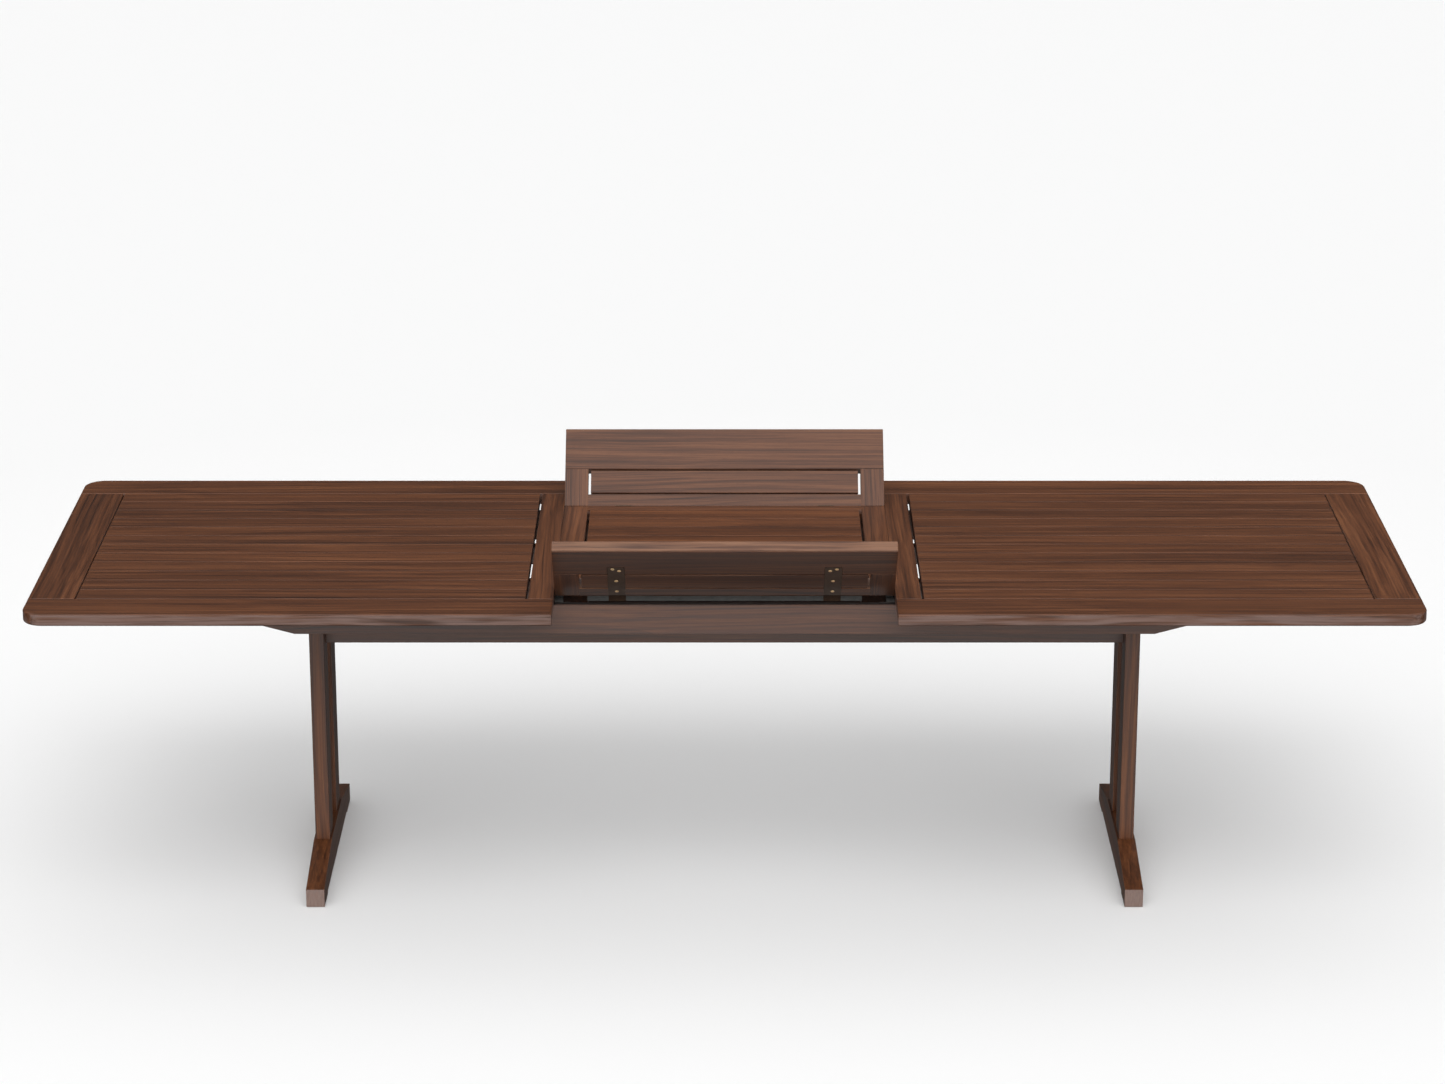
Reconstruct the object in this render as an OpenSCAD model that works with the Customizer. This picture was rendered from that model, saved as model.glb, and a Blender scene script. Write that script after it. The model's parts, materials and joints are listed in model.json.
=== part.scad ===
// Extendable dining table, open, with its three-part leaf half unfolded.
// Millimetres. The origin is on the floor under the table's centre, +X to the right,
// +Y to the rear and +Z up. Two half-tops slide along X on a fixed trestle frame, and the
// leaf's front and rear flaps turn about the top edges of its centre panel.

/* [Overall size] */
// Height of the tabletop above the floor
table_h = 734; // [700:1:780]
// Length with the leaf in place
open_len = 2954; // [2900:2:3000]
// Depth from the front edge to the rear edge
depth = 946; // [940:1:960]
// Length that the leaf adds
leaf_len = 727; // [715:1:735]

/* [Tabletop boards] */
// Thickness of every tabletop board
top_t = 26; // [22:1:28]
// Corner radius of the top in plan
corner_r = 45; // [15:1:60]
// Rounding of the top's outer edges
edge_r = 4; // [1:0.5:8]
// Width of the front and rear rails
rail_w = 103; // [95:1:110]
// Width of the stiles beside the leaf, and of the leaf's own stiles
stile_w = 53; // [45:1:60]
// Width of the stile at each end of the table
end_stile_w = 99; // [80:1:110]
// Width of the open slots beside the slats
slot_w = 6; // [4:0.5:8]
// Width of the groove beside each end stile
groove_w = 3; // [2:0.5:5]
// Slats in each half-top, front to rear
slat_count = 12; // [12:1:12]
// Gap between neighbouring slats
slat_gap = 0.4; // [0.2:0.1:1.5]
// Gap between the leaf and each half-top
leaf_gap = 0.6; // [0.4:0.1:1.5]

/* [Leaf flaps] */
// Length of each flap, from its hinge line to its free edge
flap_len = 197; // [190:0.5:200]
// How far the flaps stand up from flat
flap_angle = 46.5; // [0:0.5:90]
// Open gap on either side of a flap's slat
flap_slot = 4.6; // [3:0.1:6]

/* [Strap hinges] */
// Distance of each hinge from the table's middle
hinge_x = 230; // [180:1:260]
// Width of a hinge strap
strap_w = 37; // [30:1:45]
// Length of the arm under a flap
strap_len = 125; // [122:1:130]
// Thickness of the arm under a flap
strap_t = 2.5; // [2:0.1:4]
// Thickness of the hinge plates on the two edges
plate_t = 1.6; // [1.2:0.1:2]
// Radius of the hinge knuckles
knuckle_r = 1.6; // [1.4:0.1:2]
// Radius of the hinge pin
hinge_pin_r = 0.8; // [0.6:0.05:0.9]
// Radius of a screw head
screw_head_r = 4.2; // [3.5:0.1:5]

/* [Under-frame] */
// Height of the front and rear side rails
fascia_h = 65.7; // [55:0.1:70]
// Thickness of the side rails
fascia_t = 19; // [16:1:22]
// Distance from the table's edge back to the side rails
fascia_inset = 141; // [138:1:150]
// Length of the side rails
fascia_len = 2100; // [2000:10:2200]
// Half length of the side rails' level underside
fascia_level = 918; // [900:1:930]
// Height of the rail's small end
fascia_end_h = 30; // [20:1:40]
// Distance of each trestle from the table's middle
trestle_x = 895; // [880:1:900]
// Thickness of the feet and of the top bearers
foot_w = 40; // [34:1:44]
// Length of the feet, front to rear
foot_len = 628; // [600:4:700]
// Height of a foot at its ends
foot_end_h = 42; // [35:1:50]
// Height of a foot under the posts
foot_mid_h = 81; // [70:1:90]
// Length of the pad left standing under each end of a foot
foot_pad = 76; // [40:1:120]
// Height of the relief between the pads
foot_relief = 6; // [2:0.5:10]
// Post size along X
post_x = 32; // [26:0.5:34]
// Post size along Y
post_y = 75; // [65:1:85]
// Gap between the two posts of a trestle
post_gap = 90; // [80:1:110]
// Depth of the bearers below the tabletop's upper face, at the posts
bearer_drop = 152; // [145:1:160]
// Height of the stretchers
stretcher_h = 52; // [40:1:52]
// Thickness of the stretchers
stretcher_t = 25; // [20:1:28]
// Width of a slide runner
runner_w = 25; // [20:1:30]
// Height of a slide runner
runner_h = 42; // [36:1:44]
// Thickness of the cross battens
batten_t = 16; // [12:1:16]
// Width of the cross battens
batten_w = 60; // [50:1:70]

/* [Hidden] */

// Sides: left and front are -1, right and rear are +1.
LEFT = -1;
RIGHT = 1;
FRONT = -1;
REAR = 1;

walnut = "#5b3a29";
walnut_dark = "#4a3226";
walnut_light = "#6b4735";
steel_grey = "#6f7375";
bronze = "#4b4038";
brass = "#c99b4a";
nylon = "#2b2623";

round_fn = 48;
fine_fn = 32;
// Overrun that keeps cutters clear of the faces they open
cut = 1;

top_under = table_h - top_t;
batten_under = top_under - batten_t;

// Half-tops
x_inner = (leaf_len + leaf_gap) / 2;
x_outer = open_len / 2;
y_edge = depth / 2;
y_rail = y_edge - rail_w;
slat_pitch = 2 * y_rail / slat_count;
slat_x0 = x_inner + stile_w + slot_w;
slat_x1 = x_outer - end_stile_w - groove_w;

// Leaf: half width, hinge lines and the clearance at each hinge edge
leaf_x = (leaf_len - leaf_gap) / 2;
leaf_slot_x = leaf_x - stile_w;
leaf_slat_x = leaf_slot_x - slot_w;
hinge_y = y_edge - flap_len;
edge_gap = 0.3;
pivot_z = table_h + edge_gap;
centre_slat_count = slat_count - 4;
centre_slat_y = centre_slat_count / 2 * slat_pitch;
flap_hinge_rail_w = hinge_y - centre_slat_y;
flap_rail_u = flap_len - rail_w;
flap_slat_u0 = flap_hinge_rail_w + flap_slot;
flap_slat_u1 = flap_rail_u - flap_slot;

// Strap hinge details
recess_gap = 0.2;
knuckle_count = 5;
knuckle_pitch = strap_w / knuckle_count;
knuckle_gap = 0.2;
pin_clearance = 0.05;
knuckle_groove_r = knuckle_r + 0.4;
strap_corner_r = 6;
// Screws on a strap: offset away from the table's middle, distance from the hinge line
strap_screws = [[0, 17], [0, 64], [-7, 109.5], [7, 117]];
screw_hole_r = 2.2;
screw_shank_r = 2;
screw_head_t = 1.5;
screw_dome_t = 0.8;
screw_len = 15;
head_gap = 0.2;

// Under-frame
slide_gap = 0.3;
strip_t = 1;
strip_w = 10;
strip_end = 12;
fascia_top = top_under - slide_gap - strip_t;
fascia_y1 = y_edge - fascia_inset;
fascia_y0 = fascia_y1 - fascia_t;
bearer_top = batten_under - 3;
bearer_end_under = fascia_top - fascia_h;
bearer_mid_under = table_h - bearer_drop;
post_y0 = post_gap / 2;
post_y1 = post_y0 + post_y;
runner_y = 121.5;
runner_gap = 1;
runner_x0 = x_inner + 10;
runner_x1 = slat_x1 - 43;
stretcher_y0 = 48;
glide_r = 14;
glide_t = 1.5;
glide_inset = 30;
batten_y = fascia_y0 - 4;
batten_xs = [x_inner + stile_w / 2, 470, 770, 1070, slat_x1 + groove_w / 2];
// Screw rows: the last one stands clear of the groove over its batten
screw_row_xs = [for (i = [0 : 4]) i < 4 ? batten_xs[i] : slat_x1 - 14];
screws_per_row = slat_count - 2;
batten_head_r = 4;
batten_head_t = 1.6;
batten_screw_len = 32;
bracket_t = 3;
bracket_leg = 40;
bracket_h = 38;
bracket_z = bearer_end_under + 4;

// Post bolts
bolt_r = 4;
bolt_hole_r = 4.3;
bolt_head_r = 7;
bolt_head_h = 6;
bolt_socket_r = 9;
bolt_seat = 17;
bolt_grip = 50;

// Leaf carrier
bar_len = 588;
bar_h = 12;
bar_d = 20;
bar_y = hinge_y - edge_gap - plate_t;
carrier_t = 17;
carrier_x = 354.5;
carrier_h = 36;
carrier_drop = 6;
carrier_level_y = 262;
guide_t = 3;
guide_w = 50;
guide_h = 56;
guide_slot_h = 42;
carrier_pin_r = 4;
carrier_pin_z = top_under - 18;
guide_clear = 0.4;
carrier_end = fascia_y0 - guide_t - 6;
centre_batten_x = 150;
side_batten_h = 48;

// Mirrors its children to the left when side is -1
module on_side(side) {
    if (side < 0)
        mirror([1, 0, 0]) children();
    else
        children();
}

// Mirrors its children to the front when face is -1
module on_face(face) {
    if (face < 0)
        mirror([0, 1, 0]) children();
    else
        children();
}

// A box between two corners
module block(low, high) {
    translate(low) cube(high - low);
}

// ---- Edge shapes of the tabletop ----

// Board section with a rounded edge on its +X side: width w, base at y = 0
module edge_section(w) {
    square([w - edge_r, top_t]);
    translate([0, edge_r]) square([w, top_t - 2 * edge_r]);
    for (z = [edge_r, top_t - edge_r])
        translate([w - edge_r, z]) circle(edge_r, $fn = round_fn);
}

// Board along +Y from y0 to y1 with its rounded edge on +X, at x1
module edged_along_y(x0, x1, y0, y1) {
    translate([x0, y1, top_under])
        rotate([90, 0, 0]) linear_extrude(y1 - y0) edge_section(x1 - x0);
}

// Board along +X from x0 to x1 with its rounded edge on +Y, at y1
module edged_along_x(x0, x1, y0, y1) {
    translate([x0, y0, top_under])
        rotate([90, 0, 90]) linear_extrude(x1 - x0) edge_section(y1 - y0);
}

// ---- Half-tops ----

// Long rail with the rounded corner of the table at its outer end
module top_long_rail(side, face) {
    color(walnut) on_side(side) on_face(face) union() {
        edged_along_x(x_inner, x_outer - corner_r, y_rail, y_edge);
        edged_along_y(x_outer - corner_r, x_outer, y_rail, y_edge - corner_r);
        translate([x_outer - corner_r, y_edge - corner_r, top_under])
            rotate_extrude(angle = 90, $fn = round_fn * 2) edge_section(corner_r);
    }
}

module top_end_stile(side) {
    color(walnut) on_side(side)
        edged_along_y(x_outer - end_stile_w, x_outer, -y_rail, y_rail);
}

module top_inner_stile(side) {
    color(walnut) on_side(side)
        block([x_inner, -y_rail, top_under], [x_inner + stile_w, y_rail, table_h]);
}

// A row of slats centred front to rear, from x0 to x1
module slat_row(count, x0, x1) {
    for (i = [0 : count - 1]) {
        y0 = (i - count / 2) * slat_pitch;
        block([x0, y0 + slat_gap / 2, top_under], [x1, y0 + slat_pitch - slat_gap / 2, table_h]);
    }
}

module top_slats(side) {
    color(walnut_light) on_side(side) slat_row(slat_count, slat_x0, slat_x1);
}

// Cross battens under the boards, clear of the side rails
module top_battens(side) {
    color(walnut_dark) on_side(side)
        for (i = [0 : len(batten_xs) - 1]) {
            w = i == 0 ? stile_w : batten_w;
            block([batten_xs[i] - w / 2, -batten_y, batten_under],
                [batten_xs[i] + w / 2, batten_y, top_under]);
        }
}

// Two runners under the battens, which slide through the bearers' notches
module top_runners(side) {
    color(walnut_dark) on_side(side)
        for (face = [FRONT, REAR])
            block([runner_x0, face * runner_y - runner_w / 2, batten_under - runner_h],
                [runner_x1, face * runner_y + runner_w / 2, batten_under]);
}

// Pan-head screws up through the battens, one to each slat above
module top_screws(side) {
    color(steel_grey) on_side(side)
        for (x = screw_row_xs, i = [0 : screws_per_row - 1])
            translate([x, (i + 0.5 - screws_per_row / 2) * slat_pitch, batten_under]) {
                translate([0, 0, -batten_head_t])
                    cylinder(h = batten_head_t, r = batten_head_r, $fn = fine_fn);
                cylinder(h = batten_screw_len, r = screw_shank_r, $fn = fine_fn);
            }
}

// ---- Trestles ----

// Foot outline, Y across and Z up: it stands on a pad at each end
module foot_outline() {
    half = foot_len / 2;
    pad = half - foot_pad;
    arch = glide_t + foot_relief;
    polygon([
        [-half, glide_t], [-pad, glide_t], [-pad, arch], [pad, arch], [pad, glide_t],
        [half, glide_t], [half, foot_end_h], [post_y1, foot_mid_h],
        [-post_y1, foot_mid_h], [-half, foot_end_h]
    ]);
}

module foot(side) {
    color(walnut_light) on_side(side) difference() {
        translate([trestle_x - foot_w / 2, 0, 0])
            rotate([90, 0, 90]) linear_extrude(foot_w) foot_outline();
        for (face = [FRONT, REAR])
            translate([trestle_x, face * (post_y0 + post_y1) / 2, 0]) {
                cylinder(h = bolt_seat, r = bolt_socket_r, $fn = fine_fn);
                cylinder(h = foot_mid_h + cut, r = bolt_hole_r, $fn = fine_fn);
            }
    }
}

module foot_glides() {
    color(nylon)
        for (side = [LEFT, RIGHT], face = [FRONT, REAR])
            translate([side * trestle_x, face * (foot_len / 2 - glide_inset), 0])
                cylinder(h = glide_t, r = glide_r, $fn = round_fn);
}

// Bolts up through the feet into the posts
module post_bolts() {
    color(steel_grey)
        for (side = [LEFT, RIGHT], face = [FRONT, REAR])
            translate([side * trestle_x, face * (post_y0 + post_y1) / 2, bolt_seat]) {
                translate([0, 0, -bolt_head_h])
                    cylinder(h = bolt_head_h, r = bolt_head_r, $fn = fine_fn);
                cylinder(h = foot_mid_h - bolt_seat + bolt_grip, r = bolt_r, $fn = fine_fn);
            }
}

module post(side, face) {
    color(walnut) on_side(side) on_face(face)
        block([trestle_x - post_x / 2, post_y0, foot_mid_h],
            [trestle_x + post_x / 2, post_y1, bearer_mid_under]);
}

// Top bearer between the side rails, notched for the runners
module bearer(side) {
    notch = runner_w / 2 + runner_gap;
    color(walnut_dark) on_side(side) difference() {
        translate([trestle_x - foot_w / 2, 0, 0]) rotate([90, 0, 90])
            linear_extrude(foot_w) polygon([
                [-fascia_y0, bearer_top], [-fascia_y0, bearer_end_under],
                [-post_y1, bearer_mid_under], [post_y1, bearer_mid_under],
                [fascia_y0, bearer_end_under], [fascia_y0, bearer_top]
            ]);
        for (face = [FRONT, REAR])
            block(
                [trestle_x - foot_w, face * runner_y - notch, batten_under - runner_h - runner_gap],
                [trestle_x + foot_w, face * runner_y + notch, batten_under + cut]);
    }
}

// Stretcher between the two trestles' posts
module stretcher(face) {
    end = trestle_x - post_x / 2;
    color(walnut_dark) on_face(face)
        block([-end, stretcher_y0, bearer_mid_under - 1 - stretcher_h],
            [end, stretcher_y0 + stretcher_t, bearer_mid_under - 1]);
}

// ---- Side rails and slides ----

module side_rail(face) {
    end = fascia_len / 2;
    under = fascia_top - fascia_h;
    color(walnut_light) on_face(face) translate([0, fascia_y1, 0])
        rotate([90, 0, 0]) linear_extrude(fascia_t) polygon([
            [-end, fascia_top], [-end, fascia_top - fascia_end_h], [-fascia_level, under],
            [fascia_level, under], [end, fascia_top - fascia_end_h], [end, fascia_top]
        ]);
}

// Angle brackets that tie the side rails to the bearers
module rail_brackets() {
    x = trestle_x - foot_w / 2;
    color(steel_grey)
        for (side = [LEFT, RIGHT], face = [FRONT, REAR])
            on_side(side) on_face(face) translate([x, fascia_y0, bracket_z]) {
                translate([-bracket_leg, -bracket_t, 0])
                    cube([bracket_leg, bracket_t, bracket_h]);
                translate([-bracket_t, -bracket_leg, 0])
                    cube([bracket_t, bracket_leg, bracket_h]);
            }
}

// Low-friction strips that carry the half-tops and the opened flaps
module glide_strips() {
    half = fascia_len / 2 - strip_end;
    mid = (fascia_y0 + fascia_y1) / 2;
    color(nylon)
        for (face = [FRONT, REAR])
            block([-half, face * mid - strip_w / 2, fascia_top],
                [half, face * mid + strip_w / 2, fascia_top + strip_t]);
}

// Slotted plates on the side rails' inner faces, in which the leaf's pins ride
module guide_plates() {
    slot_r = carrier_pin_r + guide_clear;
    z1 = carrier_pin_z;
    z0 = z1 - guide_slot_h + 2 * slot_r;
    color(steel_grey)
        for (side = [LEFT, RIGHT], face = [FRONT, REAR])
            on_side(side) on_face(face) difference() {
                block([carrier_x - guide_w / 2, fascia_y0 - guide_t, fascia_top - 1 - guide_h],
                    [carrier_x + guide_w / 2, fascia_y0, fascia_top - 1]);
                for (z = [z0, z1])
                    translate([carrier_x, fascia_y0 + cut, z]) rotate([90, 0, 0])
                        cylinder(h = guide_t + 2 * cut, r = slot_r, $fn = fine_fn);
                block([carrier_x - slot_r, fascia_y0 - guide_t - cut, z0],
                    [carrier_x + slot_r, fascia_y0 + cut, z1]);
            }
}

// ---- Leaf, centre panel ----

module centre_stile(side) {
    color(walnut) on_side(side)
        block([leaf_slot_x, edge_gap - hinge_y, top_under], [leaf_x, hinge_y - edge_gap, table_h]);
}

// Rail beside a hinge line, recessed for the hinge plates and their knuckles
module centre_rail(face) {
    color(walnut) on_face(face) difference() {
        block([-leaf_slot_x, centre_slat_y, top_under],
            [leaf_slot_x, hinge_y - edge_gap, table_h]);
        for (side = [LEFT, RIGHT])
            translate([side * hinge_x, 0, 0]) {
                block([-strap_w / 2 - recess_gap, bar_y, top_under - cut],
                    [strap_w / 2 + recess_gap, hinge_y, table_h + cut]);
                knuckle_groove();
            }
    }
}

module centre_slats() {
    color(walnut_light) slat_row(centre_slat_count, -leaf_slat_x, leaf_slat_x);
}

// Two flat battens under the slats and a deep one beside each end carrier
module centre_battens() {
    end = bar_y - bar_d;
    color(walnut_dark)
        for (side = [LEFT, RIGHT])
            on_side(side) {
                block([centre_batten_x - batten_w / 2, -end, batten_under],
                    [centre_batten_x + batten_w / 2, end, top_under]);
                block([bar_len / 2, -end, top_under - side_batten_h],
                    [carrier_x - carrier_t / 2, end, top_under]);
            }
}

// Steel bars under the two hinge lines
module carrier_bars() {
    color(steel_grey)
        for (face = [FRONT, REAR])
            on_face(face)
                block([-bar_len / 2, bar_y - bar_d, top_under - bar_h], [bar_len / 2, bar_y, top_under]);
}

// Plates under the leaf's stiles, stepped down where the flaps lie over them
module end_carriers() {
    color(steel_grey)
        for (side = [LEFT, RIGHT])
            on_side(side) translate([carrier_x - carrier_t / 2, 0, 0])
                rotate([90, 0, 90]) linear_extrude(carrier_t) polygon([
                    [-carrier_end, top_under - carrier_h], [carrier_end, top_under - carrier_h],
                    [carrier_end, top_under - carrier_drop],
                    [carrier_level_y, top_under - carrier_drop], [carrier_level_y, top_under],
                    [-carrier_level_y, top_under], [-carrier_level_y, top_under - carrier_drop],
                    [-carrier_end, top_under - carrier_drop]
                ]);
}

// Pins on the ends of the carriers, in the guide plates' slots
module carrier_pins() {
    color(steel_grey)
        for (side = [LEFT, RIGHT], face = [FRONT, REAR])
            on_side(side) on_face(face)
                translate([carrier_x, carrier_end, carrier_pin_z]) rotate([-90, 0, 0])
                    cylinder(h = fascia_y0 - edge_gap - carrier_end, r = carrier_pin_r,
                        $fn = fine_fn);
}

// ---- Hinges: drawn flat, about the rear hinge line ----

// Round groove in the wood for a hinge's knuckles
module knuckle_groove() {
    translate([-strap_w / 2 - recess_gap, hinge_y, pivot_z]) rotate([0, 90, 0])
        cylinder(h = strap_w + 2 * recess_gap, r = knuckle_groove_r, $fn = fine_fn);
}

// Cylinders of radius r on the hinge line, at every second knuckle from first
module knuckles(first, r, gap) {
    for (i = [first : 2 : knuckle_count - 1])
        translate([(i - knuckle_count / 2) * knuckle_pitch + gap / 2, hinge_y, pivot_z])
            rotate([0, 90, 0]) cylinder(h = knuckle_pitch - gap, r = r, $fn = fine_fn);
}

// Cutter for the pin hole
module pin_hole() {
    translate([-strap_w / 2 - cut, hinge_y, pivot_z]) rotate([0, 90, 0])
        cylinder(h = strap_w + 2 * cut, r = hinge_pin_r + pin_clearance, $fn = fine_fn);
}

// Fixed plates: they run from the carrier bar up to the knuckles
module hinge_plates(face) {
    color(bronze) on_face(face)
        for (side = [LEFT, RIGHT])
            translate([side * hinge_x, 0, 0]) difference() {
                union() {
                    difference() {
                        block([-strap_w / 2, bar_y, top_under - bar_h],
                            [strap_w / 2, hinge_y - edge_gap, pivot_z]);
                        knuckles(1, knuckle_r + knuckle_gap, 0);
                    }
                    knuckles(0, knuckle_r, knuckle_gap);
                }
                pin_hole();
            }
}

module hinge_pins(face) {
    color(brass) on_face(face)
        for (side = [LEFT, RIGHT])
            translate([side * hinge_x - strap_w / 2, hinge_y, pivot_z]) rotate([0, 90, 0])
                cylinder(h = strap_w, r = hinge_pin_r, $fn = fine_fn);
}

// ---- Flaps: drawn flat at the rear, then raised and sent to their face ----

module raised(face) {
    on_face(face) translate([0, hinge_y, pivot_z]) rotate([flap_angle, 0, 0])
        translate([0, -hinge_y, -pivot_z]) children();
}

// Flat board of a flap between distances u0 and u1 from the hinge line
module flap_board(x0, x1, u0, u1) {
    block([x0, hinge_y + u0, top_under], [x1, hinge_y + u1, table_h]);
}

// Recess under a flap for the strap arms, as far as the side of the strap reaches
module strap_recess() {
    for (side = [LEFT, RIGHT])
        translate([side * hinge_x, 0, 0])
            block([-strap_w / 2 - recess_gap, hinge_y - cut, top_under - cut],
                [strap_w / 2 + recess_gap, hinge_y + strap_len + recess_gap, top_under + strap_t]);
}

module flap_rail(face) {
    color(walnut) raised(face) difference() {
        edged_along_x(-leaf_x, leaf_x, hinge_y + flap_rail_u, y_edge);
        strap_recess();
    }
}

module flap_stile(side, face) {
    color(walnut) raised(face) on_side(side)
        flap_board(leaf_slot_x, leaf_x, edge_gap, flap_rail_u);
}

module flap_slat(face) {
    color(walnut_light) raised(face) difference() {
        flap_board(-leaf_slat_x, leaf_slat_x, flap_slat_u0, flap_slat_u1);
        strap_recess();
    }
}

module flap_hinge_rail(face) {
    color(walnut) raised(face) difference() {
        flap_board(-leaf_slot_x, leaf_slot_x, edge_gap, flap_hinge_rail_w);
        strap_recess();
        for (side = [LEFT, RIGHT])
            translate([side * hinge_x, 0, 0]) {
                block([-strap_w / 2 - recess_gap, hinge_y, top_under - cut],
                    [strap_w / 2 + recess_gap, hinge_y + edge_gap + plate_t, table_h + cut]);
                knuckle_groove();
            }
    }
}

// Plan of a strap's arm, with rounded far corners
module strap_plan() {
    half = strap_w / 2;
    translate([-half, edge_gap]) square([strap_w, strap_len - strap_corner_r - edge_gap]);
    translate([strap_corner_r - half, strap_len / 2])
        square([strap_w - 2 * strap_corner_r, strap_len / 2]);
    for (side = [LEFT, RIGHT])
        translate([side * (half - strap_corner_r), strap_len - strap_corner_r])
            circle(strap_corner_r, $fn = fine_fn);
}

// Moving straps: an arm under the flap, a plate on its edge and two knuckles
module flap_straps(face) {
    color(bronze) raised(face)
        for (side = [LEFT, RIGHT])
            translate([side * hinge_x, 0, 0]) difference() {
                union() {
                    translate([0, hinge_y, top_under]) linear_extrude(strap_t) strap_plan();
                    difference() {
                        block([-strap_w / 2, hinge_y + edge_gap, top_under],
                            [strap_w / 2, hinge_y + edge_gap + plate_t, pivot_z]);
                        knuckles(0, knuckle_r + knuckle_gap, 0);
                    }
                    knuckles(1, knuckle_r, knuckle_gap);
                }
                pin_hole();
                for (at = strap_screws)
                    translate([side * at[0], hinge_y + at[1], top_under - cut]) {
                        cylinder(h = strap_t + 2 * cut, r = screw_hole_r, $fn = fine_fn);
                        cylinder(h = screw_head_t + cut, r = screw_head_r + head_gap,
                            $fn = fine_fn);
                    }
            }
}

// Wood screws through the straps, with low round heads
module flap_screws(face) {
    color(brass) raised(face)
        for (side = [LEFT, RIGHT], at = strap_screws)
            translate([side * (hinge_x + at[0]), hinge_y + at[1], top_under]) {
                translate([0, 0, -screw_dome_t])
                    cylinder(h = screw_dome_t, r1 = screw_head_r / 2, r2 = screw_head_r,
                        $fn = fine_fn);
                cylinder(h = screw_head_t, r = screw_head_r, $fn = fine_fn);
                cylinder(h = screw_len, r = screw_shank_r, $fn = fine_fn);
            }
}

foot(LEFT);  // left_foot
foot(RIGHT);  // right_foot
foot_glides();
post_bolts();
post(LEFT, FRONT);  // left_front_post
post(LEFT, REAR);  // left_rear_post
post(RIGHT, FRONT);  // right_front_post
post(RIGHT, REAR);  // right_rear_post
bearer(LEFT);  // left_bearer
bearer(RIGHT);  // right_bearer
stretcher(FRONT);  // front_stretcher
stretcher(REAR);  // rear_stretcher
side_rail(FRONT);  // front_side_rail
side_rail(REAR);  // rear_side_rail
rail_brackets();
glide_strips();
guide_plates();
centre_stile(LEFT);  // centre_left_stile
centre_stile(RIGHT);  // centre_right_stile
centre_rail(FRONT);  // centre_front_rail
centre_rail(REAR);  // centre_rear_rail
centre_slats();
centre_battens();
carrier_bars();
end_carriers();
carrier_pins();
hinge_plates(FRONT);  // front_hinge_plates
hinge_plates(REAR);  // rear_hinge_plates
hinge_pins(FRONT);  // front_hinge_pins
hinge_pins(REAR);  // rear_hinge_pins
flap_rail(FRONT);  // front_flap_rail
flap_stile(LEFT, FRONT);  // front_flap_left_stile
flap_stile(RIGHT, FRONT);  // front_flap_right_stile
flap_slat(FRONT);  // front_flap_slat
flap_hinge_rail(FRONT);  // front_flap_hinge_rail
flap_straps(FRONT);  // front_flap_straps
flap_screws(FRONT);  // front_flap_screws
flap_rail(REAR);  // rear_flap_rail
flap_stile(LEFT, REAR);  // rear_flap_left_stile
flap_stile(RIGHT, REAR);  // rear_flap_right_stile
flap_slat(REAR);  // rear_flap_slat
flap_hinge_rail(REAR);  // rear_flap_hinge_rail
flap_straps(REAR);  // rear_flap_straps
flap_screws(REAR);  // rear_flap_screws
top_long_rail(LEFT, FRONT);  // left_top_front_rail
top_long_rail(LEFT, REAR);  // left_top_rear_rail
top_end_stile(LEFT);  // left_top_end_stile
top_inner_stile(LEFT);  // left_top_inner_stile
top_slats(LEFT);  // left_top_slats
top_battens(LEFT);  // left_top_battens
top_runners(LEFT);  // left_top_runners
top_screws(LEFT);  // left_top_screws
top_long_rail(RIGHT, FRONT);  // right_top_front_rail
top_long_rail(RIGHT, REAR);  // right_top_rear_rail
top_end_stile(RIGHT);  // right_top_end_stile
top_inner_stile(RIGHT);  // right_top_inner_stile
top_slats(RIGHT);  // right_top_slats
top_battens(RIGHT);  // right_top_battens
top_runners(RIGHT);  // right_top_runners
top_screws(RIGHT);  // right_top_screws
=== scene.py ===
"""Looks of the extendable dining table: walnut-brown boards, bronze straps, brass screws."""

import json
import math
import random

import bmesh
import bpy
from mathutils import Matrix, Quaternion, Vector


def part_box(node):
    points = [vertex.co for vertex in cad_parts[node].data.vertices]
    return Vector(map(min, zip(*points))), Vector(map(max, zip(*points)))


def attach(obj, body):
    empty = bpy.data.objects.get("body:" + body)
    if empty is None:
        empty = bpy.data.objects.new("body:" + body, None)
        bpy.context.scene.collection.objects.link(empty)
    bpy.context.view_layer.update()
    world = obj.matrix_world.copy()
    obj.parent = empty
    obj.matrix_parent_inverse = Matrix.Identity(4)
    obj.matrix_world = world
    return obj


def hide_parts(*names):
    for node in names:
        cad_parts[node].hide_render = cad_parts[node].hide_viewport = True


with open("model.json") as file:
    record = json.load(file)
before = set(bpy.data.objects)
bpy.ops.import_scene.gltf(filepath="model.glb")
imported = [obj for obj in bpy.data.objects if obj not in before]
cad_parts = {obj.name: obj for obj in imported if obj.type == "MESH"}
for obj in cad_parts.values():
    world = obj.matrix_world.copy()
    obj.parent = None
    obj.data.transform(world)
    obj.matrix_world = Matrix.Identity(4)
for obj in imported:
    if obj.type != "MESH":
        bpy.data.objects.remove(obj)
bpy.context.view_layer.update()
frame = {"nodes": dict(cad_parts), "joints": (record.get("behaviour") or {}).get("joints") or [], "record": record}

NODES = frame["nodes"]
MM = 0.001
X_AXIS = Vector((1, 0, 0))
Y_AXIS = Vector((0, 1, 0))
Z_AXIS = Vector((0, 0, 1))
# Corners of a CAD mesh closer than this are one corner
WELD_DISTANCE = 0.005 * MM

# ---------------------------------------------------------------- sizes taken from the frame

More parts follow.
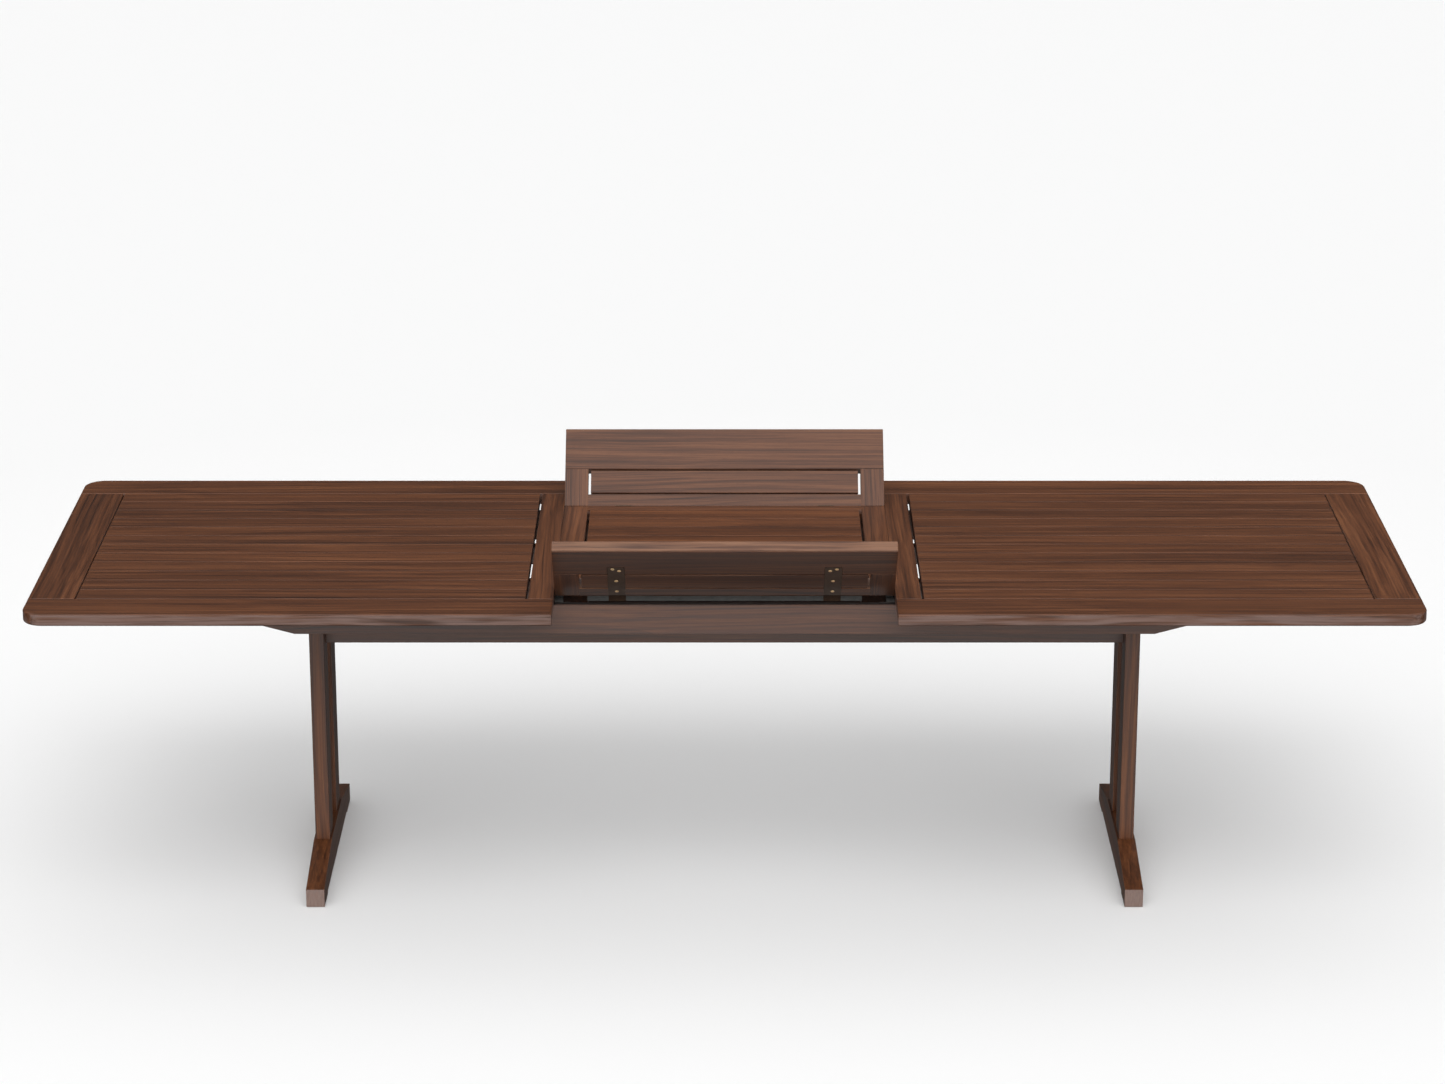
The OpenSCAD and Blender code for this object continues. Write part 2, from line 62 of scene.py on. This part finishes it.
# The slats of a half-top fill the space between its front and rear rails
SLAT_COUNT = 12
SLAT_PITCH = (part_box("left_top_front_rail")[1][1] * -2) / SLAT_COUNT
HINGES = {j["child"]: j for j in frame["joints"] if j["type"] == "hinge"}
# A flap's hinge turns down from rest to level by the angle at which the flap is drawn
FLAP_ANGLE = math.radians(-HINGES["front_flap"]["range_deg"][0])
# Along a raised flap, from its hinge line to its free edge
FLAP_ALONG = {
    "front": Vector((0, -math.cos(FLAP_ANGLE), math.sin(FLAP_ANGLE))),
    "rear": Vector((0, math.cos(FLAP_ANGLE), math.sin(FLAP_ANGLE))),
}
# The underside of a raised flap faces this way
FLAP_UNDER = {
    "front": Vector((0, -math.sin(FLAP_ANGLE), -math.cos(FLAP_ANGLE))),
    "rear": Vector((0, math.sin(FLAP_ANGLE), -math.cos(FLAP_ANGLE))),
}


# ---------------------------------------------------------------- node-tree helpers


class Graph:
    """A node tree with short calls for the nodes used here."""

    def __init__(self, tree):
        self.tree = tree

    def add(self, kind, **settings):
        node = self.tree.nodes.new(kind)
        for key, value in settings.items():
            setattr(node, key, value)
        return node

    def put(self, socket, value):
        """Links an output to a socket, or sets a constant on it."""
        if isinstance(value, bpy.types.NodeSocket):
            self.tree.links.new(value, socket)
        else:
            socket.default_value = value

    def coordinates(self, kind="Object"):
        return self.add("ShaderNodeTexCoord").outputs[kind]

    def part(self, vector, axis):
        """One of a vector's X, Y and Z."""
        node = self.add("ShaderNodeSeparateXYZ")
        self.put(node.inputs[0], vector)
        return node.outputs[axis]

    def math(self, operation, *values):
        node = self.add("ShaderNodeMath", operation=operation)
        for socket, value in zip(node.inputs, values):
            self.put(socket, value)
        return node.outputs[0]

    def vector(self, operation, *values, output="Vector"):
        node = self.add("ShaderNodeVectorMath", operation=operation)
        for socket, value in zip(node.inputs, values):
            self.put(socket, value)
        return node.outputs[output]

    def noise(self, place, scales, detail=2.0, roughness=0.5, output=0):
        """Noise with its own scale along X, Y and Z, per metre."""
        node = self.add("ShaderNodeTexNoise")
        self.put(node.inputs["Vector"], self.vector("MULTIPLY", place, scales))
        node.inputs["Scale"].default_value = 1
        node.inputs["Detail"].default_value = detail
        node.inputs["Roughness"].default_value = roughness
        return node.outputs[output]

    def ramp(self, value, stops):
        node = self.add("ShaderNodeValToRGB")
        self.put(node.inputs[0], value)
        elements = node.color_ramp.elements
        while len(elements) < len(stops):
            elements.new(0.5)
        for element, (place, colour) in zip(elements, stops):
            element.position = place
            element.color = (*colour, 1)
        return node.outputs[0]

    def remap(self, value, low, high, to_low=0, to_high=1, interpolation="LINEAR"):
        node = self.add("ShaderNodeMapRange", clamp=True, interpolation_type=interpolation)
        for socket, number in zip(node.inputs, (value, low, high, to_low, to_high)):
            self.put(socket, number)
        return node.outputs[0]

    def mix(self, factor, a, b):
        node = self.add("ShaderNodeMix", data_type="RGBA")
        self.put(node.inputs["Factor"], factor)
        self.put(node.inputs["A"], a)
        self.put(node.inputs["B"], b)
        return node.outputs["Result"]


class Finish(Graph):
    """The node tree of a new material with one Principled shader."""

    def __init__(self, name):
        self.material = bpy.data.materials.new(name)
        self.material.use_nodes = True
        super().__init__(self.material.node_tree)
        self.tree.nodes.clear()
        output = self.add("ShaderNodeOutputMaterial")
        self.shader = self.add("ShaderNodeBsdfPrincipled")
        self.tree.links.new(self.shader.outputs[0], output.inputs[0])

    def set(self, **values):
        """Puts values on the shader's inputs; an underscore in a name stands for a space."""
        for name, value in values.items():
            self.put(self.shader.inputs[name.replace("_", " ")], value)

    def bump(self, height, strength, distance):
        node = self.add("ShaderNodeBump")
        node.inputs["Strength"].default_value = strength
        node.inputs["Distance"].default_value = distance
        self.put(node.inputs["Height"], height)
        self.set(Normal=node.outputs[0])


# ---------------------------------------------------------------- wood

# Colours of the wood by its tone, from the darkest figure to the palest
WOOD_STOPS = [
    (0.20, (0.030, 0.0115, 0.0058)),
    (0.40, (0.074, 0.0255, 0.0100)),
    (0.56, (0.117, 0.0400, 0.0150)),
    (0.80, (0.196, 0.0720, 0.0270)),
]
PORE_WOOD = (0.022, 0.010, 0.006, 1)
# Painted highlight colours of the narrow edges of the boards and of the flaps
EDGE_HIGHLIGHT_WOOD = (0.235, 0.150, 0.125, 1)
FLAP_EDGE_HIGHLIGHT_WOOD = (0.270, 0.132, 0.072, 1)
# Painted highlight colour of the sawn ends
END_GRAIN_HIGHLIGHT_WOOD = (0.285, 0.200, 0.172, 1)
# Painted reflection colour: the grey-brown of a pale sheen
PAINTED_SHEEN_WOOD = (0.115, 0.092, 0.088, 1)
WORN_WOOD = (0.23, 0.125, 0.075, 1)

# The figure's layers, from wide bands to fibres: noise scales per metre along the grain and in
# the two ways across it, the noise's detail and roughness, and the layer's share in the tone
LAYERS = {
    "bands": ((0.55, 22, 22), 2, 0.5, 0.55),
    "streaks": ((1.6, 105, 105), 4, 0.6, 0.70),
    "hairs": ((2.4, 270, 270), 3, 0.6, 0.85),
    "fibres": ((14, 620, 620), 2, 0.5, 0.30),
}
TONE_SHIFT = 0.65
PORE_SCALES = (60, 1900, 1900)
FLECK_SCALES = (6, 90, 90)
COMB_SCALES = (420, 420, 60)

# The grain wanders from straight by up to about half of this many metres
WANDER = 0.05
WANDER_SCALES = (0.9, 2.5, 2.5)

# Growth rings darken the tone; they lean, so that this share of a rise counts as going back, and
# their spacing is uneven by up to so many rings
RINGS_PER_METRE = 62
RING_TONE = -0.13
RING_LEAN = 0.6
RING_SPREAD = 7
RING_SPREAD_SCALES = (0.4, 7, 7)

# Each board takes its own stretch of figure, up to this many metres off, and its own tone, up to
# this much lighter or darker; the slats of one row take theirs in the same way
BOARD_REACH = 9
BOARD_TONES = 0.03
SLAT_REACH = (5, 5, 5)
SLAT_TONES = 0.05
SLAT_SEED_STEP = 0.37

EDGE_ROUNDING = 1.6 * MM
GRAIN_DEPTH = 0.25 * MM


def squareness(g, direction):
    """How squarely the surface faces along a line fixed in the piece: 1 face on, 0 edge on."""
    normal = g.coordinates("Normal")
    return g.math("ABSOLUTE", g.vector("DOT_PRODUCT", normal, direction, output="Value"))


def board_place(g, grain, rng):
    """Where a point lies in the board's own stretch of figure, with X along the grain."""
    turned = g.add("ShaderNodeMapping", vector_type="POINT")
    g.put(turned.inputs["Vector"], g.coordinates())
    turned.inputs["Rotation"].default_value = grain.rotation_difference(X_AXIS).to_euler()
    turned.inputs["Location"].default_value = [
        rng.uniform(-BOARD_REACH, BOARD_REACH) for _ in range(3)]
    return turned.outputs[0]


def slat_draw(g, seed):
    """White noise with one draw for each slat, told apart by its place across the table."""
    index = g.math("FLOOR", g.math("DIVIDE", g.part(g.coordinates(), "Y"), SLAT_PITCH))
    draw = g.add("ShaderNodeTexWhiteNoise", noise_dimensions="1D")
    g.put(draw.inputs["W"], g.math("ADD", index, seed * SLAT_SEED_STEP))
    return draw.outputs


def wandering(g, along):
    """Bends straight grain a little to either side."""
    drift = g.noise(along, WANDER_SCALES, output="Color")
    offset = g.vector("SCALE", g.vector("SUBTRACT", drift, (0.5, 0.5, 0.5)))
    offset.node.inputs["Scale"].default_value = WANDER
    return g.vector("ADD", along, offset)


def growth_rings(g, grained):
    """Thin dark lines that fade to their other side."""
    spread = g.noise(grained, RING_SPREAD_SCALES)
    depth = g.math("MULTIPLY_ADD", g.part(grained, "Z"), RING_LEAN, g.part(grained, "Y"))
    phase = g.math("MULTIPLY_ADD", spread, RING_SPREAD, g.math("MULTIPLY", depth, RINGS_PER_METRE))
    ring = g.remap(g.math("FRACT", phase), 0.35, 0.95)
    return g.math("MULTIPLY", ring, ring)


def painted_edge_highlights(g, colour, grain, layers, grained, broad, edge_highlight, end_grain_highlight):
    """Painted highlights: turns a board's narrow edges to a paler colour in streaks, and its sawn ends paler
    still, for the light and sheen they catch.
    """
    if broad is not None:
        flecks = g.noise(grained, FLECK_SCALES)
        lines = g.remap(g.math("MULTIPLY_ADD", flecks, 2, layers["hairs"]), 1.22, 1.72)
        # Painted highlight: edges seen edge on turn paler, in streaks
        edge_on = g.remap(squareness(g, broad), 0.35, 0.75, 0.72, 0)
        colour = g.mix(g.math("MULTIPLY", edge_on, lines), colour, edge_highlight)
    if end_grain_highlight:
        # Painted highlight: the ends turn pale grey, with a comb texture like end grain
        sawn = g.remap(squareness(g, grain), 0.80, 0.95, 0, end_grain_highlight)
        comb = g.noise(g.coordinates(), COMB_SCALES, 3)
        pale = g.math("MULTIPLY", sawn, g.remap(comb, 0.35, 0.65, 0.75, 1))
        colour = g.mix(pale, colour, END_GRAIN_HIGHLIGHT_WOOD)
    return colour


def worn_edges(g, colour, streaks):
    """Handling rubs the edges a little lighter."""
    bevel = g.add("ShaderNodeBevel", samples=4)
    bevel.inputs["Radius"].default_value = EDGE_ROUNDING
    normal = g.add("ShaderNodeNewGeometry").outputs["Normal"]
    bend = g.vector("DOT_PRODUCT", bevel.outputs[0], normal, output="Value")
    edge = g.remap(bend, 0.99, 0.85, 0, 0.35)
    worn = g.math("MULTIPLY", edge, g.remap(streaks, 0.35, 0.65, 0.3, 1))
    return g.mix(worn, colour, WORN_WOOD)


def wood(name, grain, seed, shade=0.0, slats=False, broad=None, end_grain_highlight=0.0, painted_sheen=0.0,
         edge_highlight=EDGE_HIGHLIGHT_WOOD, gloss=0.5):
    """Straight-grained dark walnut whose grain runs along a unit vector.

    shade lightens or darkens the whole board; on the flaps and the right half-top it is painted light,
    on the centre battens painted shade. With slats, each board of a slat row gets its own figure and
    tone. broad is the board's flat side, whose narrow edges then take edge_highlight, a paler colour
    painted as a highlight; end_grain_highlight is how much paler its sawn ends are painted, also a
    painted highlight; painted_sheen is how far the board turns to grey-brown, a painted reflection;
    and gloss how strongly its finish reflects."""
    g = Finish(name)
    rng = random.Random(seed)
    along = board_place(g, grain, rng)
    tone = rng.uniform(-BOARD_TONES, BOARD_TONES) + shade
    if slats:
        draw = slat_draw(g, seed)
        along = g.vector("MULTIPLY_ADD", draw["Color"], SLAT_REACH, along)
        tone = g.remap(draw["Value"], 0, 1, shade - SLAT_TONES, shade + SLAT_TONES)
    grained = wandering(g, along)

    layers = {}
    for layer, (scales, detail, roughness, share) in LAYERS.items():
        layers[layer] = g.noise(grained, scales, detail, roughness)
        tone = g.math("MULTIPLY_ADD", layers[layer], share, tone)
    tone = g.math("MULTIPLY_ADD", growth_rings(g, grained), RING_TONE, tone)
    tone = g.math("SUBTRACT", tone, TONE_SHIFT)
    pore = g.remap(g.noise(grained, PORE_SCALES, 1), 0.60, 0.70)
    colour = g.mix(g.math("MULTIPLY", pore, 0.35), g.ramp(tone, WOOD_STOPS), PORE_WOOD)
    # Painted reflection: the board turns grey-brown as if sheened
    colour = g.mix(painted_sheen, colour, PAINTED_SHEEN_WOOD)
    colour = painted_edge_highlights(g, colour, grain, layers, grained, broad, edge_highlight, end_grain_highlight)
    colour = worn_edges(g, colour, layers["streaks"])

    g.set(Base_Color=colour, Roughness=g.remap(layers["streaks"], 0.3, 0.7, 0.30, 0.38),
          Specular_IOR_Level=gloss)
    height = g.math("SUBTRACT", g.math("MULTIPLY", layers["fibres"], 0.5), pore)
    g.bump(height, 0.18, GRAIN_DEPTH)
    return g.material


# ---------------------------------------------------------------- metal and plastic

CLOUD_SCALES = (55, 55, 55)
BRUSH_SCALES = (40, 900, 900)
BRUSH_DEPTH = 0.1 * MM
SCUFF_SCALES = (30, 260, 260)
MOULD_SCALES = (2600, 2600, 2600)
MOULD_DEPTH = 0.05 * MM


def metal(name, dark, light, roughness, metallic):
    """Metal with faint brushing, cloudy tone and uneven polish; metallic is less if it is dull."""
    g = Finish(name)
    place = g.coordinates()
    clouds = g.noise(place, CLOUD_SCALES, 3, 0.6)
    lines = g.noise(place, BRUSH_SCALES)
    tone = g.math("ADD", g.math("MULTIPLY", clouds, 0.6), g.math("MULTIPLY", lines, 0.4))
    g.set(Base_Color=g.ramp(tone, [(0.3, dark), (0.7, light)]), Metallic=metallic,
          Roughness=g.remap(tone, 0.3, 0.7, roughness + 0.08, roughness - 0.06))
    g.bump(lines, 0.12, BRUSH_DEPTH)
    return g.material


def plastic(name, dark, light):
    """Matt moulded plastic with a fine grain and light scuffs."""
    g = Finish(name)
    place = g.coordinates()
    scuffs = g.noise(place, SCUFF_SCALES, 3)
    g.set(Base_Color=g.ramp(scuffs, [(0.4, dark), (0.75, light)]),
          Roughness=g.remap(scuffs, 0.4, 0.7, 0.62, 0.48))
    g.bump(g.noise(place, MOULD_SCALES), 0.2, MOULD_DEPTH)
    return g.material


# ---------------------------------------------------------------- finishing the CAD pieces

# Materials of the slots whose pieces all look alike
SHARED = {
    "brass": metal("brass", (1.0, 0.56, 0.27), (1.0, 0.76, 0.42), 0.30, 0.3),
    "bronze_steel": metal("bronze_steel", (0.070, 0.038, 0.024), (0.110, 0.066, 0.042), 0.42, 0.3),
    "grey_steel": metal("grey_steel", (0.17, 0.17, 0.165), (0.26, 0.26, 0.25), 0.46, 0.4),
    "nylon": plastic("nylon", (0.020, 0.018, 0.017), (0.045, 0.042, 0.040)),
}

# How far the edges are eased, by how a timber's name ends, or else by EASED_ELSEWHERE
EASED = {"top_front_rail": 1.8 * MM, "top_rear_rail": 1.8 * MM, "end_stile": 1.8 * MM,
         "post": 1.2 * MM, "flap_rail": 1.2 * MM, "foot": 0.8 * MM}
EASED_ELSEWHERE = 0.9 * MM
# Faces that meet at less than the first angle are merged, and edges over the second are eased
FLAT_ANGLE = math.radians(0.5)
EASED_ANGLE = math.radians(40)


def dress(node, material):
    """Gives a CAD piece its material."""
    mesh = NODES[node].data
    mesh.materials.clear()
    mesh.materials.append(material)


def soften(node, width):
    """Eases the edges of a CAD piece with modifiers, which leave its mesh as it is."""
    piece = NODES[node]
    piece.modifiers.new("weld", "WELD").merge_threshold = WELD_DISTANCE
    flats = piece.modifiers.new("flats", "DECIMATE")
    flats.decimate_type = "DISSOLVE"
    flats.angle_limit = FLAT_ANGLE
    bevel = piece.modifiers.new("eased edges", "BEVEL")
    bevel.width = width
    bevel.segments = 2
    bevel.limit_method = "ANGLE"
    bevel.angle_limit = EASED_ANGLE
    bevel.use_clamp_overlap = True
    bevel.harden_normals = True
    piece.modifiers.new("shading", "WEIGHTED_NORMAL").keep_sharp = True


def flap_of(node):
    """Which flap a piece belongs to, or None."""
    return next((end for end in FLAP_ALONG if node.startswith(end + "_flap")), None)


def grain_of(node):
    """Which way a board's grain runs, from its place in the table."""
    flap = flap_of(node)
    if flap and node.endswith("stile"):
        return FLAP_ALONG[flap]
    if node.endswith(("stile", "foot", "bearer", "battens")):
        return Y_AXIS
    if node.endswith("post"):
        return Z_AXIS
    return X_AXIS


def timber_of(node):
    """What sets a board's wood apart: its flat side, its sawn ends, its tone and its gloss, with painted light,
    shade, highlights and sheen on some boards.
    """
    flap = flap_of(node)
    if flap:
        # Painted light: the flaps are painted lighter, with painted edge highlights and a painted grey sheen
        return {"broad": FLAP_UNDER[flap], "shade": 0.08, "painted_sheen": 0.15,
                "edge_highlight": FLAP_EDGE_HIGHLIGHT_WOOD}
    if node.endswith("foot"):
        # Painted highlight: the ends of the feet are painted pale
        return {"end_grain_highlight": 0.9}
    if node == "centre_battens":
        # Painted shade: the centre battens are painted almost black for the deep shade they sit in
        return {"shade": -0.3, "painted_sheen": 0.1}
    if node.endswith("battens"):
        return {"shade": -0.04}
    if node == "centre_slats":
        return {"broad": Z_AXIS, "gloss": 0.25}
    if node.startswith("right_top"):
        # Painted light: the right half-top is painted a little lighter for the brighter light on that side
        return {"broad": Z_AXIS, "shade": 0.04}
    if "_top_" in node or node.startswith("centre"):
        return {"broad": Z_AXIS}
    if node.endswith(("_side_rail", "stretcher", "bearer")):
        # Painted reflection: rails, stretchers and bearers turn grey-brown for their sheen
        return {"painted_sheen": 0.35}
    return {}


def finish_cad_pieces():
    slots = {s["node"]: s["material_slot"] for s in frame["record"]["subparts"]}
    for seed, node in enumerate(sorted(NODES)):
        slot = slots[node]
        if slot in SHARED:
            dress(node, SHARED[slot])
            continue
        dress(node, wood("wood_" + node, grain_of(node), seed,
                         slats=node.endswith("slats"), **timber_of(node)))
        soften(node, next((w for end, w in EASED.items() if node.endswith(end)), EASED_ELSEWHERE))


# ---------------------------------------------------------------- flap screws

# A cross-head screw stands along its own +Z, head up, with the underside of its head at zero
HEAD_RADIUS = 4.2 * MM
HEAD_HEIGHT = 1.5 * MM
DOME_HEIGHT = 0.8 * MM
SCREW_TOP = HEAD_HEIGHT + DOME_HEIGHT
SHANK_RADIUS = 2 * MM
SEGMENTS = 32
# The dome is turned in this many steps
DOME_STEPS = 5
# The head draws in to this share of its radius at its underside, and has its full radius from
# this share of its height up
HEAD_TUCK = 0.97
HEAD_TUCK_HEIGHT = 0.2
# The tip's share of the shank's radius, and the share of the screw's length where it starts to
# taper
TIP_RADIUS = 0.3
TAPER_START = 0.8
# The length and half the width of a cross's arm, as shares of the head's radius, and the shares
# of them that are left at its bottom
CROSS_ARM = 0.62
CROSS_HALF = 0.11
ARM_AT_BOTTOM = 0.6
HALF_AT_BOTTOM = 0.8
# The cross's depth, and how high its cutter reaches, as shares of the head's whole height
CROSS_DEPTH = 0.55
CUTTER_TOP = 1.5
# Each screw is turned this many degrees further than the one before
SPIN_STEP = 37
QUARTER_TURN = 90
SHARP_ANGLE = math.radians(35)
# Corners this close to the top of a CAD screw belong to its face
FACE_TOLERANCE = 0.05 * MM


def loose_parts(mesh):
    """The corners of each separate solid of a CAD node."""
    body = bmesh.new()
    body.from_mesh(mesh)
    bmesh.ops.remove_doubles(body, verts=body.verts, dist=WELD_DISTANCE)
    left = set(body.verts)
    parts = []
    # Started in the mesh's own order, because a set's order changes from run to run
    for first in body.verts:
        if first not in left:
            continue
        left.remove(first)
        stack = [first]
        part = []
        while stack:
            corner = stack.pop()
            part.append(corner.co.copy())
            for side in corner.link_edges:
                other = side.other_vert(corner)
                if other in left:
                    left.remove(other)
                    stack.append(other)
        parts.append(part)
    body.free()
    # In a fixed order, whatever order the solids came in
    return sorted(parts, key=lambda p: tuple(round(sum(c[i] for c in p) / len(p), 4)
                                             for i in range(3)))


def mesh_from(body, name):
    """Turns a bmesh into a new mesh and frees it."""
    mesh = bpy.data.meshes.new(name)
    body.to_mesh(mesh)
    body.free()
    return mesh


def placed(mesh, name):
    """A new object of a mesh, in the scene."""
    thing = bpy.data.objects.new(name, mesh)
    bpy.context.collection.objects.link(thing)
    return thing


def lathe(body, rings):
    """Closed turned shape from (radius, height) rings, first and last at radius 0."""
    rows = []
    for radius, height in rings:
        if radius == 0:
            rows.append([body.verts.new((0, 0, height))] * SEGMENTS)
            continue
        rows.append([body.verts.new((radius * math.cos(2 * math.pi * k / SEGMENTS),
                                     radius * math.sin(2 * math.pi * k / SEGMENTS), height))
                     for k in range(SEGMENTS)])
    for low, high in zip(rows, rows[1:]):
        for k in range(SEGMENTS):
            after = (k + 1) % SEGMENTS
            corners = list(dict.fromkeys([low[k], low[after], high[after], high[k]]))
            if len(corners) > 2:
                body.faces.new(corners)


def screw_blank(length):
    """A screw without its cross."""
    body = bmesh.new()
    rises = [math.radians(QUARTER_TURN * k / DOME_STEPS) for k in range(1, DOME_STEPS)]
    dome = [(HEAD_RADIUS * math.cos(a), HEAD_HEIGHT + DOME_HEIGHT * math.sin(a)) for a in rises]
    tip = HEAD_HEIGHT - length
    lathe(body, [(0, tip), (SHANK_RADIUS * TIP_RADIUS, tip),
                 (SHANK_RADIUS, HEAD_HEIGHT - length * TAPER_START), (SHANK_RADIUS, 0),
                 (HEAD_RADIUS * HEAD_TUCK, 0), (HEAD_RADIUS, HEAD_HEIGHT * HEAD_TUCK_HEIGHT),
                 (HEAD_RADIUS, HEAD_HEIGHT), *dome, (0, SCREW_TOP)])
    bmesh.ops.recalc_face_normals(body, faces=body.faces)
    return mesh_from(body, "screw")


def cross_cutter():
    """Two crossed bars that taper towards the bottom of the cross."""
    body = bmesh.new()
    for turn in (0, math.pi / 2):
        for corner in bmesh.ops.create_cube(body, size=1)["verts"]:
            low = corner.co.z < 0
            x = corner.co.x * 2 * HEAD_RADIUS * CROSS_ARM * (ARM_AT_BOTTOM if low else 1)
            y = corner.co.y * 2 * HEAD_RADIUS * CROSS_HALF * (HALF_AT_BOTTOM if low else 1)
            z = SCREW_TOP - CROSS_DEPTH * SCREW_TOP if low else SCREW_TOP * CUTTER_TOP
            corner.co = (x * math.cos(turn) - y * math.sin(turn),
                         x * math.sin(turn) + y * math.cos(turn), z)
    return mesh_from(body, "cross_cutter")


def screw_mesh(length):
    """Cross-head screw with a low domed head, cut by a boolean on this one copy."""
    blank = placed(screw_blank(length), "screw")
    cutter = placed(cross_cutter(), "cross_cutter")
    cut = blank.modifiers.new("cross", "BOOLEAN")
    cut.object = cutter
    cut.operation = "DIFFERENCE"
    cut.solver = "EXACT"
    cut.use_self = True
    bpy.context.view_layer.update()
    done = bpy.data.meshes.new_from_object(
        blank.evaluated_get(bpy.context.evaluated_depsgraph_get()))
    bpy.data.objects.remove(blank)
    bpy.data.objects.remove(cutter)
    return done


def screws(node, out):
    """Detailed screws in the places of a CAD node's plain ones; their heads face along out."""
    parts = loose_parts(NODES[node].data)
    heights = [corner.dot(out) for corner in parts[0]]
    screw = screw_mesh(max(heights) - min(heights) - DOME_HEIGHT)
    turn = Z_AXIS.rotation_difference(out)
    body = bmesh.new()
    for number, part in enumerate(parts):
        # The head's face is the outermost plane, and its ring of corners gives the middle
        top = max(corner.dot(out) for corner in part)
        face = [corner for corner in part if corner.dot(out) > top - FACE_TOLERANCE]
        seat = sum(face, Vector()) / len(face) - out * SCREW_TOP
        spin = Quaternion(Z_AXIS, math.radians(SPIN_STEP * number % QUARTER_TURN))
        start = len(body.verts)
        body.from_mesh(screw)
        body.verts.ensure_lookup_table()
        for corner in body.verts[start:]:
            corner.co = turn @ (spin @ corner.co) + seat
    mesh = mesh_from(body, node + "_detailed")
    for polygon in mesh.polygons:
        polygon.use_smooth = True
    mesh.set_sharp_from_angle(angle=SHARP_ANGLE)
    mesh.materials.clear()
    mesh.materials.append(SHARED["brass"])
    return placed(mesh, node + "_detailed")


def detailed_screws():
    for flap, under in FLAP_UNDER.items():
        node = flap + "_flap_screws"
        piece = screws(node, under)
        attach(piece, flap + "_flap")
        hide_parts(node)


# ---------------------------------------------------------------- stage, light and camera

STUDIO_RADIUS = 60
# Painted light: the floor is painted palest under the table, out to the first radius, where it lifts the table's
# shadow, and dims out to the second
FLOOR_RADII = (1.2, 3.6)
FLOOR_STOPS = [(0, (0.83, 0.83, 0.83)), (1, (0.765, 0.765, 0.765))]
# A faint glow keeps the shadow as light as on a studio's white table
FLOOR_GLOW = 0.10
WALL_GLOW = 0.955


def floor():
    bpy.ops.mesh.primitive_plane_add(size=2 * STUDIO_RADIUS)
    plane = bpy.context.object
    plane.name = "floor"
    g = Finish("floor")
    away = g.vector("LENGTH", g.coordinates(), output="Value")
    g.set(Base_Color=g.ramp(g.remap(away, *FLOOR_RADII), FLOOR_STOPS), Roughness=0.9,
          Specular_IOR_Level=0.1, Emission_Color=(1, 1, 1, 1), Emission_Strength=FLOOR_GLOW)
    plane.data.materials.append(g.material)
    # The sky stands in for the floor in the gloss and under the table
    plane.visible_diffuse = False
    plane.visible_glossy = False


def backdrop():
    """Pale wall all round, which only the camera sees."""
    bpy.ops.mesh.primitive_cylinder_add(
        vertices=96, radius=STUDIO_RADIUS * 0.98, depth=STUDIO_RADIUS, end_fill_type="NOTHING")
    wall = bpy.context.object
    wall.name = "backdrop"
    g = Finish("backdrop")
    g.set(Base_Color=(0, 0, 0, 1), Specular_IOR_Level=0, Emission_Color=(1, 1, 1, 1),
          Emission_Strength=WALL_GLOW)
    wall.data.materials.append(g.material)
    wall.visible_diffuse = False
    wall.visible_glossy = False
    wall.visible_shadow = False


# Brightness of the room by height, as the matt surfaces meet it and as the gloss meets it
# towards the front and towards the rear: pale floor, dim walls, and a soft light overhead
MATT_SKY = [(-1, 0.12), (-0.02, 0.12), (0.03, 0.08), (0.4, 0.08), (0.7, 0.8), (1, 0.8)]
FRONT_GLOSS = [(-1, 0.30), (-0.45, 0.4), (-0.25, 1.9), (-0.02, 1.9), (0.03, 0.04), (0.5, 0.04),
               (0.8, 1.0), (1, 1.0)]
REAR_GLOSS = [(-1, 0.30), (-0.45, 0.1), (-0.02, 0.06), (0.03, 0.04), (0.5, 0.04), (0.8, 1.0),
              (1, 1.0)]
# The front's gloss passes into the rear's between these two shares of a direction's length
GLOSS_TURN = (-0.6, -0.2)


def sky():
    world = bpy.data.worlds.new("studio")
    world.use_nodes = True
    g = Graph(world.node_tree)
    direction = g.coordinates("Generated")
    height = g.remap(g.part(direction, "Z"), -1, 1)
    rear = g.remap(g.part(direction, "Y"), *GLOSS_TURN, interpolation="SMOOTHSTEP")
    matt, front_gloss, rear_gloss = (
        g.ramp(height, [((level + 1) / 2, (light, light, light)) for level, light in profile])
        for profile in (MATT_SKY, FRONT_GLOSS, REAR_GLOSS))
    gloss_ray = g.add("ShaderNodeLightPath").outputs["Is Glossy Ray"]
    seen = g.mix(gloss_ray, matt, g.mix(rear, front_gloss, rear_gloss))
    g.put(g.tree.nodes["Background"].inputs["Color"], seen)
    bpy.context.scene.world = world


def sun(name, energy, spread, tilt):
    """Soft distant light: spread is its angular size, tilt leans it from overhead to the front."""
    data = bpy.data.lights.new(name, "SUN")
    data.energy = energy
    data.angle = math.radians(spread)
    light = placed(data, name)
    light.rotation_euler = (math.radians(tilt), 0, 0)
    light.visible_glossy = False


def lights():
    sun("key", 2.0, 85, 55)
    sun("key_core", 0.5, 45, 42)
    sun("rear_fill", 0.35, 80, -50)
    sky()


CAMERA_PLACE = (-0.0046, -8.374, 3.492)
# Degrees that the camera looks down
CAMERA_PITCH = 18.2
CAMERA_LENS = 99.58
CAMERA_SENSOR = 36


def camera():
    data = bpy.data.cameras.new("camera")
    data.sensor_width = CAMERA_SENSOR
    data.sensor_fit = "HORIZONTAL"
    data.lens = CAMERA_LENS
    data.clip_end = 200
    view = placed(data, "camera")
    view.location = CAMERA_PLACE
    view.rotation_euler = (math.radians(90 - CAMERA_PITCH), 0, 0)
    bpy.context.scene.camera = view
    bpy.context.scene.view_settings.view_transform = "Standard"


camera()
floor()
backdrop()
lights()
finish_cad_pieces()
detailed_screws()
